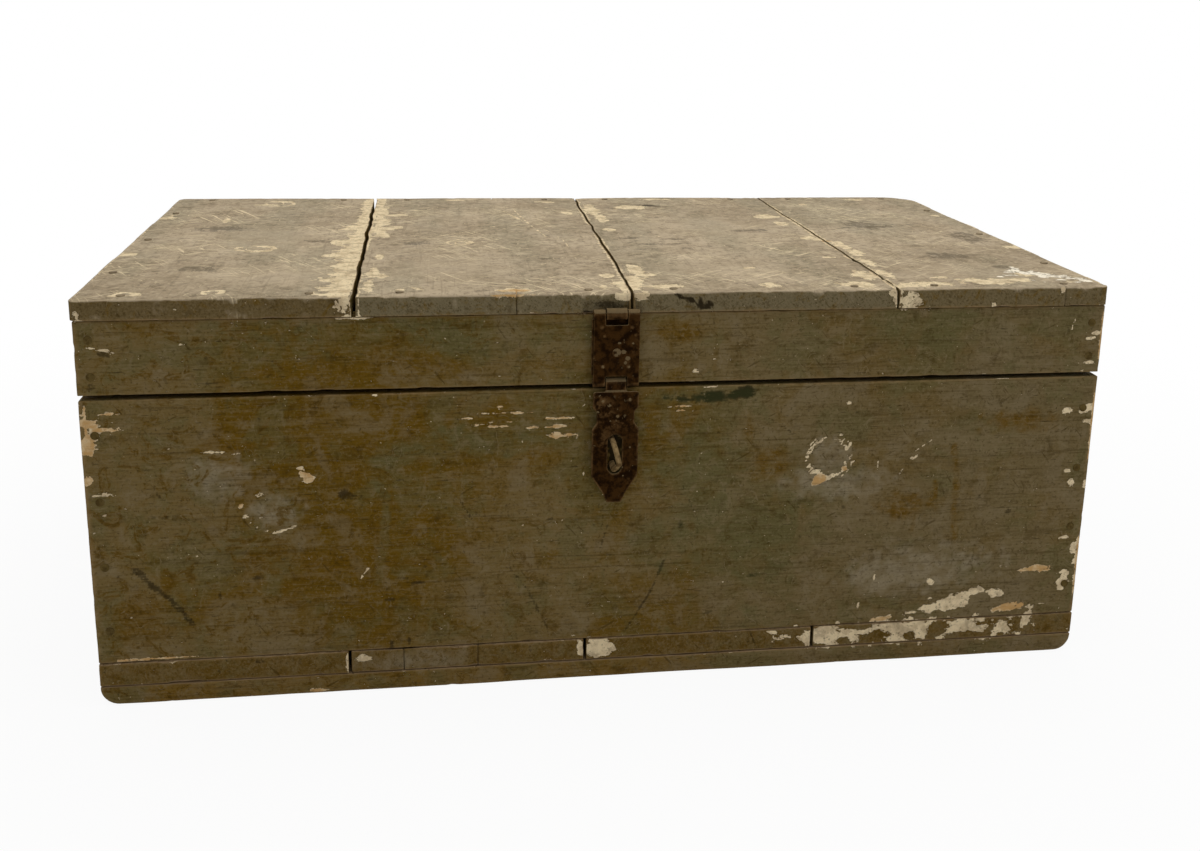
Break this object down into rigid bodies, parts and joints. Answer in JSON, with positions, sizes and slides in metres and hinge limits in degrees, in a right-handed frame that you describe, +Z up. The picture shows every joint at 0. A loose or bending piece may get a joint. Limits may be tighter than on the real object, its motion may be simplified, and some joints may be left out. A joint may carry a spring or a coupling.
{
  "type": "wooden trunk",
  "caption": "Low wooden trunk with a boarded lid hinged at the back, iron hasp and padlock staple in front, and a drop handle on each end.",
  "frame": {"origin": "on the floor under the middle of the box, between the runners", "axes": "+Z up, the front with the hasp faces -Y, +X to the right seen from the front"},
  "size_m": [0.9514, 0.5706, 0.37],
  "materials": {
    "painted_wood": "old dark olive brown paint, worn and chipped to bare wood",
    "runner_wood": "old dark paint, scuffed",
    "rusty_iron": "dark brown rust with paint specks",
    "staple_iron": "light brown rusted rod",
    "nails": "flat heads, painted over or rusted",
    "screws": "round slotted heads, rusted"
  },
  "bodies": {
    "box": {"front_board": "painted_wood", "back_board": "painted_wood", "left_end_board": "painted_wood", "right_end_board": "painted_wood", "bottom_board_1": "painted_wood", "bottom_board_2": "painted_wood", "bottom_board_3": "painted_wood", "bottom_board_4": "painted_wood", "front_runner": "runner_wood", "back_runner": "runner_wood", "wall_nails": "nails", "bottom_nails": "nails", "runner_nails": "nails", "padlock_staple": "staple_iron", "left_hinge_box_leaf": "rusty_iron", "left_hinge_pin": "rusty_iron", "right_hinge_box_leaf": "rusty_iron", "right_hinge_pin": "rusty_iron", "left_handle_plate": "rusty_iron", "right_handle_plate": "rusty_iron", "box_hinge_screws": "screws", "left_handle_screws": "screws", "right_handle_screws": "screws"},
    "lid": {"lid_board_1": "painted_wood", "lid_board_2": "painted_wood", "lid_board_3": "painted_wood", "lid_board_4": "painted_wood", "lid_front_rail": "painted_wood", "lid_back_rail": "painted_wood", "lid_left_rail": "painted_wood", "lid_right_rail": "painted_wood", "lid_board_nails": "nails", "lid_rail_nails": "nails", "hasp_fixed_leaf": "rusty_iron", "hasp_top_pin": "rusty_iron", "hasp_leaf_screws": "screws", "left_hinge_lid_leaf": "rusty_iron", "right_hinge_lid_leaf": "rusty_iron", "lid_hinge_screws": "screws"},
    "hasp_link": {"hasp_link": "rusty_iron", "hasp_link_rivet": "rusty_iron", "hasp_low_pin": "rusty_iron"},
    "hasp_strap": {"hasp_strap": "rusty_iron"},
    "left_bail": {"left_handle_bail": "rusty_iron"},
    "right_bail": {"right_handle_bail": "rusty_iron"}
  },
  "joints": [
    {"name": "lid_hinge", "type": "hinge", "parent": "box", "child": "lid", "pos_m": [0, 0.27105, 0.28425], "axis": [-1, 0, 0], "range_deg": [0, 180]},
    {"name": "hasp_link_hinge", "type": "hinge", "parent": "lid", "child": "hasp_link", "pos_m": [-0.0035, -0.27175, 0.3514], "axis": [-1, 0, 0], "range_deg": [0, 170]},
    {"name": "hasp_strap_hinge", "type": "hinge", "parent": "hasp_link", "child": "hasp_strap", "pos_m": [-0.0035, -0.27175, 0.2894], "axis": [-1, 0, 0], "range_deg": [0, 110]},
    {"name": "left_bail_hinge", "type": "hinge", "parent": "box", "child": "left_bail", "pos_m": [-0.468, 0, 0.205], "axis": [0, 1, 0], "range_deg": [0, 90]},
    {"name": "right_bail_hinge", "type": "hinge", "parent": "box", "child": "right_bail", "pos_m": [0.468, 0, 0.205], "axis": [0, -1, 0], "range_deg": [0, 90]}
  ]
}
